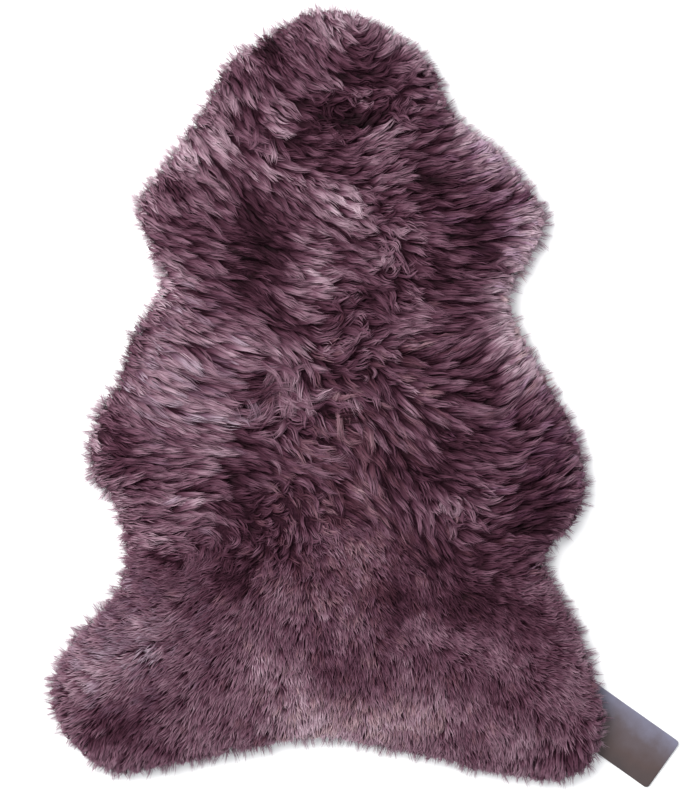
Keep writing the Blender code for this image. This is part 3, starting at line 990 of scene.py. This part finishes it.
def slab(name, inset, pitch, top_of, bottom_of):
    """A closed piece inside the outline, with these heights of its top and bottom."""
    ring = inset_ring(inset, pitch)
    places = staggered_grid(ring.min(axis=0), ring.max(axis=0), pitch)
    places = places[wool.inside.at(places) > inset + pitch * SLAB_INNER]
    corners, faces = triangulated(ring, places)
    plan = np.array(corners)
    bm = bmesh.new()
    upper = [bm.verts.new((*place, height)) for place, height in zip(plan, top_of(plan))]
    lower = [bm.verts.new((*place, height)) for place, height in zip(plan, bottom_of(plan))]
    for face in faces:
        bm.faces.new([upper[index] for index in face])
        bm.faces.new([lower[index] for index in reversed(face)])
    edge = [edge for edge in bm.edges if len(edge.link_faces) == 1]
    bmesh.ops.bridge_loops(bm, edges=edge)
    bmesh.ops.recalc_face_normals(bm, faces=bm.faces)
    return smooth_object(name, bm)


def over_label(plan):
    """1 over the label and 0 away from it, with a soft ramp between."""
    half = np.array((label_place.length, label_place.width)) / 2
    away = np.maximum(np.abs(in_label(plan)) - half, 0.0)
    share = np.clip(1.0 - np.linalg.norm(away, axis=1) / LIFT_RAMP, 0.0, 1.0)
    return share**2 * (3 - 2 * share)


def hide_bottom(plan):
    return HIDE_LIFT * over_label(plan)


def hide_top(plan):
    return hide_bottom(plan) + HIDE_THICKNESS


def underwool_top(plan):
    depth = UNDERWOOL_DEPTH * np.clip(2 * habit_at(plan).tuft, UNDERWOOL_SHALLOW, 1.0)
    depth = depth * (1 + near_rim(plan, RIM_REACH))
    return np.maximum(wool.top.at(plan) - depth, underwool_bottom(plan) + HIDE_THICKNESS)


def underwool_bottom(plan):
    """On the hide, and past its edge a little above the floor."""
    past = np.clip((HIDE_INSET - wool.inside.at(plan)) / (HIDE_INSET - UNDERWOOL_INSET), 0.0, 1.0)
    return hide_top(plan) + SLIT + past * FLOOR_CLEAR


LABEL_EDGE = 0.0006
LABEL_CORNER = 0.005
LABEL_SPAN = 0.145  # longer level lines run from corner to corner
LABEL_PITCH = 0.004
LABEL_INNER = 0.8  # how far inside its edge its inner points stay, in steps
CORNER_STEPS = 6
SHARP = 1.0  # the turn, in radians, from which an edge is rounded
EDGE_STEPS = 3
LABEL_RISE = 0.0016  # of its free end off the floor
LABEL_FREE = 0.35  # share of its length, from the sewn end, that lies flat

LabelPlace = namedtuple("LabelPlace", "centre along across length width thickness")


def read_label():
    """Where the CAD label lies: its long axis points to its free end."""
    corners = corners_of(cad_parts["label"])
    sides = (np.roll(corners, -1, axis=1) - corners).reshape(-1, 3)
    level = sides[np.abs(sides[:, 2]) < SMALL][:, :2]
    lengths = np.linalg.norm(level, axis=1)
    straight = level[(lengths < LABEL_SPAN) & (lengths > 0)]
    along = unit(straight[np.linalg.norm(straight, axis=1).argmax()])
    places = corners.reshape(-1, 3)
    centre = (places[:, :2].max(axis=0) + places[:, :2].min(axis=0)) / 2
    along = along * np.sign(along @ centre)
    across = np.array((-along[1], along[0]))
    offset = places[:, :2] - centre
    length = np.ptp(offset @ along)
    width = np.ptp(offset @ across)
    return LabelPlace(centre, along, across, length, width, places[:, 2].max())


def in_label(plan):
    """Places seen along and across the label, from its centre."""
    offset = plan - label_place.centre
    return np.stack([offset @ label_place.along, offset @ label_place.across], axis=1)


def rounded_rectangle(length, width, corner, spacing):
    """The outline of a plate, counter-clockwise, with a few points on each corner."""
    points = []
    for quarter, (side, end) in enumerate(((1, -1), (1, 1), (-1, 1), (-1, -1))):
        for step in range(CORNER_STEPS + 1):
            angle = math.radians(90 * (quarter - 1) + 90 / CORNER_STEPS * step)
            x = side * (length / 2 - corner) + corner * math.cos(angle)
            y = end * (width / 2 - corner) + corner * math.sin(angle)
            points.append((x, y))
    points = np.array(points)
    ring = []
    for start, end in zip(points, np.roll(points, -1, axis=0)):
        steps = max(1, round(np.linalg.norm(end - start) / spacing))
        ring += [start + (end - start) * step / steps for step in range(steps)]
    return np.array(ring)


def make_label():
    """The leather label, with softly rounded edges and its free end a little off the floor."""
    place = label_place
    ring = rounded_rectangle(place.length, place.width, LABEL_CORNER, LABEL_PITCH)
    ends = np.array((place.length, place.width)) / 2 - LABEL_PITCH * LABEL_INNER
    x, y = np.meshgrid(*(np.arange(-end, end, LABEL_PITCH) for end in ends))
    points, faces = triangulated(ring, np.stack([x.ravel(), y.ravel()], axis=1))
    bm = bmesh.new()
    lower = [bm.verts.new((*point, 0.0)) for point in points]
    for face in faces:
        bm.faces.new([lower[index] for index in reversed(face)])
    made = bmesh.ops.extrude_face_region(bm, geom=bm.faces[:])
    raised = [part for part in made["geom"] if isinstance(part, bmesh.types.BMVert)]
    bmesh.ops.translate(bm, vec=(0.0, 0.0, place.thickness), verts=raised)
    bmesh.ops.recalc_face_normals(bm, faces=bm.faces)
    rims = [edge for edge in bm.edges if edge.calc_face_angle(0.0) > SHARP]
    bmesh.ops.bevel(
        bm, geom=rims, offset=LABEL_EDGE, segments=EDGE_STEPS, profile=0.5, affect="EDGES"
    )
    for vertex in bm.verts:
        along, across, height = vertex.co
        share = np.clip((along / place.length + 0.5 - LABEL_FREE) / (1 - LABEL_FREE), 0.0, 1.0)
        spot = place.centre + place.along * along + place.across * across
        lift = LABEL_RISE * share**2 * (1 + 0.5 * across / place.width)
        vertex.co = (*spot, height + lift)
    return smooth_object("label_leather", bm)


# ---- Materials ----

Stop = namedtuple("Stop", "place red green blue")
# The wool's colours from the darkest tone to the lightest, as linear colours: the dye, and the painted
# light and shade that the tones carry
DYE_AND_PAINTED_LIGHT = (
    Stop(0.00, 0.0128, 0.0021, 0.0054),
    Stop(0.17, 0.0320, 0.0076, 0.0164),
    Stop(0.33, 0.076, 0.026, 0.0445),
    Stop(0.50, 0.146, 0.068, 0.100),
    Stop(0.67, 0.238, 0.138, 0.178),
    Stop(0.83, 0.350, 0.232, 0.282),
    Stop(1.00, 0.500, 0.370, 0.425),
)
# Painted shade at the roots, which lie under the locks above them: how much of the dye's light is left,
# from root to tip
ROOT_SHADE = (
    Stop(0.00, 0.08, 0.02, 0.045),
    Stop(0.36, 0.13, 0.045, 0.08),
    Stop(0.60, 0.42, 0.29, 0.355),
    Stop(0.80, 0.92, 0.89, 0.90),
    Stop(1.00, 1.00, 1.00, 1.00),
)


def add_object(name, mesh):
    thing = bpy.data.objects.new(name, mesh)
    bpy.context.scene.collection.objects.link(thing)
    return thing


def blank_material(name, roughness, specular):
    """A material with only its shader; the tree's other nodes are added by its maker."""
    material = bpy.data.materials.new(name)
    material.use_nodes = True
    shader = material.node_tree.nodes["Principled BSDF"]
    shader.inputs["Roughness"].default_value = roughness
    shader.inputs["Specular IOR Level"].default_value = specular
    return material, material.node_tree, shader


def add_node(tree, kind, values=None, inputs=None):
    """A node, with its own settings and then its input sockets set or linked."""
    node = tree.nodes.new(kind)
    for name, value in (values or {}).items():
        setattr(node, name, value)
    for socket, value in (inputs or {}).items():
        if isinstance(value, bpy.types.NodeSocket):
            tree.links.new(value, node.inputs[socket])
        else:
            node.inputs[socket].default_value = value
    return node


def ramp(tree, factor, stops, interpolation="LINEAR"):
    """A colour ramp through the stops."""
    node = add_node(tree, "ShaderNodeValToRGB", inputs={"Fac": factor})
    band = node.color_ramp
    band.interpolation = interpolation
    while len(band.elements) < len(stops):
        band.elements.new(1.0)
    for element, stop in zip(band.elements, stops):
        element.position = stop.place
        element.color = (stop.red, stop.green, stop.blue, 1.0)
    return node.outputs["Color"]


def math_node(tree, operation, first, second=0.0):
    node = add_node(tree, "ShaderNodeMath", {"operation": operation}, {0: first, 1: second})
    return node.outputs[0]


def scaled(tree, value, factor):
    return math_node(tree, "MULTIPLY", value, factor)


def centred(tree, value, width):
    """A value from 0 to 1, as one that is width wide about 0."""
    return scaled(tree, math_node(tree, "SUBTRACT", value, 0.5), width)


def multiplied(tree, first, second):
    values = {"data_type": "RGBA", "blend_type": "MULTIPLY"}
    return add_node(tree, "ShaderNodeMix", values, {0: 1.0, 6: first, 7: second}).outputs[2]


def object_place(tree):
    return add_node(tree, "ShaderNodeTexCoord").outputs["Object"]


def noise(tree, where, scale, detail=3.0, roughness=0.6):
    inputs = {"Vector": where, "Scale": scale, "Detail": detail, "Roughness": roughness}
    return add_node(tree, "ShaderNodeTexNoise", inputs=inputs).outputs["Fac"]


def bumped(tree, shader, height, distance, strength=1.0):
    inputs = {"Height": height, "Distance": distance, "Strength": strength}
    normal = add_node(tree, "ShaderNodeBump", inputs=inputs).outputs["Normal"]
    tree.links.new(normal, shader.inputs["Normal"])


def wool_material():
    """Colour by the strands' map: tone across it, and root to tip up each of its rows."""
    material, tree, shader = blank_material("dyed wool", roughness=0.78, specular=0.12)
    where = add_node(tree, "ShaderNodeUVMap", {"uv_map": "OFBake"}).outputs["UV"]
    split = add_node(tree, "ShaderNodeSeparateXYZ", inputs={0: where})
    tone, height = split.outputs["X"], scaled(tree, split.outputs["Y"], len(CASTS))
    share = math_node(tree, "FRACT", height)
    row = math_node(tree, "DIVIDE", math_node(tree, "FLOOR", height), len(CASTS))
    places = {"X": scaled(tree, tone, STREAKS_ACROSS), "Y": scaled(tree, height, STREAKS_ALONG)}
    place = add_node(tree, "ShaderNodeCombineXYZ", inputs=places).outputs[0]
    streak = noise(tree, place, scale=1.0, detail=1.0, roughness=0.5)
    # The tone read here carries painted light and shade; the root ramp below is painted shade at the
    # roots
    dye = ramp(tree, math_node(tree, "ADD", tone, centred(tree, streak, STREAK_TONE)), DYE_AND_PAINTED_LIGHT)
    shade = ramp(tree, share, ROOT_SHADE)
    casts = [
        Stop(index / len(CASTS) - SMALL * index, *cast[1:])
        for index, cast in enumerate(CASTS)
    ]
    cast = ramp(tree, row, casts, "CONSTANT")
    colour = multiplied(tree, multiplied(tree, dye, shade), cast)
    tree.links.new(colour, shader.inputs["Base Color"])
    return material


def underwool_material():
    """The dense wool near the skin, coloured very dark as painted shade of the deep wool under the locks.
    """
    material, tree, shader = blank_material("underwool", roughness=0.95, specular=0.1)
    grain = noise(tree, object_place(tree), scale=420.0)
    stops = (Stop(0.3, 0.012, 0.0030, 0.0065), Stop(0.7, 0.046, 0.0140, 0.0250))
    tree.links.new(ramp(tree, grain, stops), shader.inputs["Base Color"])
    bumped(tree, shader, grain, distance=0.002)
    return material


def hide_material():
    """Suede: the flesh side of the skin, dyed with the wool."""
    material, tree, shader = blank_material("suede hide", roughness=0.92, specular=0.15)
    where = object_place(tree)
    cloud = noise(tree, where, scale=9.0, detail=5.0)
    nap = noise(tree, where, scale=900.0, detail=2.0)
    mixed = math_node(tree, "ADD", scaled(tree, cloud, 0.75), scaled(tree, nap, 0.25))
    stops = (
        Stop(0.3, 0.150, 0.085, 0.105),
        Stop(0.5, 0.215, 0.130, 0.155),
        Stop(0.7, 0.290, 0.190, 0.215),
    )
    tree.links.new(ramp(tree, mixed, stops), shader.inputs["Base Color"])
    shader.inputs["Sheen Weight"].default_value = 0.3
    bumped(tree, shader, nap, distance=0.0004)
    return material


def label_material():
    """Smooth grey leather with a fine grain, browner along one side and lighter blue grey along the
    other; that gradient is a painted reflection of the soft light.
    """
    material, tree, shader = blank_material("label leather", roughness=0.42, specular=0.5)
    where = object_place(tree)
    turn = math.atan2(label_place.along[1], label_place.along[0])
    inputs = {
        "Vector": where,
        "Location": (*label_place.centre, 0.0),
        "Rotation": (0.0, 0.0, turn),
        "Scale": (label_place.length, label_place.width, 1.0),
    }
    laid_flat = add_node(tree, "ShaderNodeMapping", {"vector_type": "TEXTURE"}, inputs).outputs[0]
    across = add_node(tree, "ShaderNodeSeparateXYZ", inputs={0: laid_flat}).outputs["Y"]
    cloud = noise(tree, where, scale=28.0, detail=4.0)
    shift = centred(tree, cloud, 0.7)
    place = math_node(tree, "ADD", math_node(tree, "ADD", across, shift), 0.5)
    # Painted reflection: the colour runs from brown on one side to a lighter blue grey on the other, as
    # the soft light falls on it
    stops = (
        Stop(0.00, 0.040, 0.026, 0.026),
        Stop(0.30, 0.060, 0.035, 0.033),
        Stop(0.60, 0.080, 0.058, 0.066),
        Stop(1.00, 0.150, 0.145, 0.205),
    )
    tree.links.new(ramp(tree, place, stops), shader.inputs["Base Color"])
    inputs = {"Vector": where, "Scale": 1100.0}
    pores = add_node(tree, "ShaderNodeTexVoronoi", {"feature": "DISTANCE_TO_EDGE"}, inputs)
    bumped(tree, shader, pores.outputs["Distance"], distance=0.0003, strength=0.5)
    rough = math_node(tree, "ADD", scaled(tree, cloud, 0.25), 0.32)
    tree.links.new(rough, shader.inputs["Roughness"])
    return material


# ---- The picture ----

PHOTO_HEIGHT = 791
PIXEL = 0.00125  # one pixel of the photograph, in metres on the rug
FRAME_CENTRE = (0.0183, -0.0014)
RIM_LEVEL = 0.012
LENS = 110.0
SENSOR = 36.0
FLOOR_SIDE = 14.0
FLOOR_COLOUR = (0.93, 0.93, 0.93, 1.0)
WINDOW_PLACE = (-1.5, 1.0, 2.9)
WINDOW_SIDE = 1.8
WINDOW_POWER = 125.0
WINDOW_COLOUR = (1.0, 0.985, 0.97)
SURROUND_COLOUR = (0.95, 0.97, 1.0, 1.0)
SURROUND_STRENGTH = 0.94


def make_camera():
    """A long lens straight above the rug, framing it as in the photograph."""
    camera = bpy.data.objects.new("camera", bpy.data.cameras.new("camera"))
    bpy.context.scene.collection.objects.link(camera)
    camera.data.lens = LENS
    camera.data.sensor_width = SENSOR
    distance = PHOTO_HEIGHT * PIXEL * LENS / SENSOR
    camera.location = (*FRAME_CENTRE, RIM_LEVEL + distance)
    camera.data.clip_start = 0.1
    camera.data.clip_end = 50.0
    bpy.context.scene.camera = camera


def area_light(name, place, size, power, colour):
    lamp = bpy.data.lights.new(name, "AREA")
    lamp.shape = "SQUARE"
    lamp.size = size
    lamp.energy = power
    lamp.color = colour
    thing = bpy.data.objects.new(name, lamp)
    bpy.context.scene.collection.objects.link(thing)
    thing.location = place
    thing.rotation_euler = (-Vector(place)).to_track_quat("-Z", "Y").to_euler()


def make_studio():
    """A pale floor, one broad light from the upper left and a pale surround."""
    bpy.ops.mesh.primitive_plane_add(size=FLOOR_SIDE, location=(0.0, 0.0, 0.0))
    floor = bpy.context.object
    floor.name = "floor"
    material, _, shader = blank_material("floor", roughness=0.9, specular=0.1)
    shader.inputs["Base Color"].default_value = FLOOR_COLOUR
    floor.data.materials.append(material)
    area_light("window", WINDOW_PLACE, WINDOW_SIDE, WINDOW_POWER, WINDOW_COLOUR)
    world = bpy.data.worlds.new("surround")
    world.use_nodes = True
    background = world.node_tree.nodes["Background"]
    background.inputs["Color"].default_value = SURROUND_COLOUR
    background.inputs["Strength"].default_value = SURROUND_STRENGTH
    bpy.context.scene.world = world
    bpy.context.scene.view_settings.view_transform = "Standard"


def place_piece(piece, material, slot, *nodes):
    """Gives a piece its material, and ties it to the frame."""
    piece.data.materials.append(material)
    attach(piece, "root")
    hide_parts(*nodes)
    return piece


wool = read_frame()
tone_drift = drift(dice(DRAWS.drift), DRIFT_REACH)
label_place = read_label()

make_camera()
make_studio()

wool_look = wool_material()
on_hide = [place_piece(piece, wool_look, "wool", "sheepskin") for piece in grow_wool()]
on_hide += [place_piece(piece, wool_look, "wool", "sheepskin") for piece in grow_border()]
underwool = slab("underwool", UNDERWOOL_INSET, UNDERWOOL_PITCH, underwool_top, underwool_bottom)
on_hide.append(place_piece(underwool, underwool_material(), "wool", "sheepskin"))
hide = slab("hide", HIDE_INSET, HIDE_PITCH, hide_top, hide_bottom)
place_piece(hide, hide_material(), "hide", "sheepskin")
label = place_piece(make_label(), label_material(), "label_leather", "label")
hide_span = [float(side) for side in np.ptp(inset_ring(HIDE_INSET, HIDE_PITCH), axis=0)]
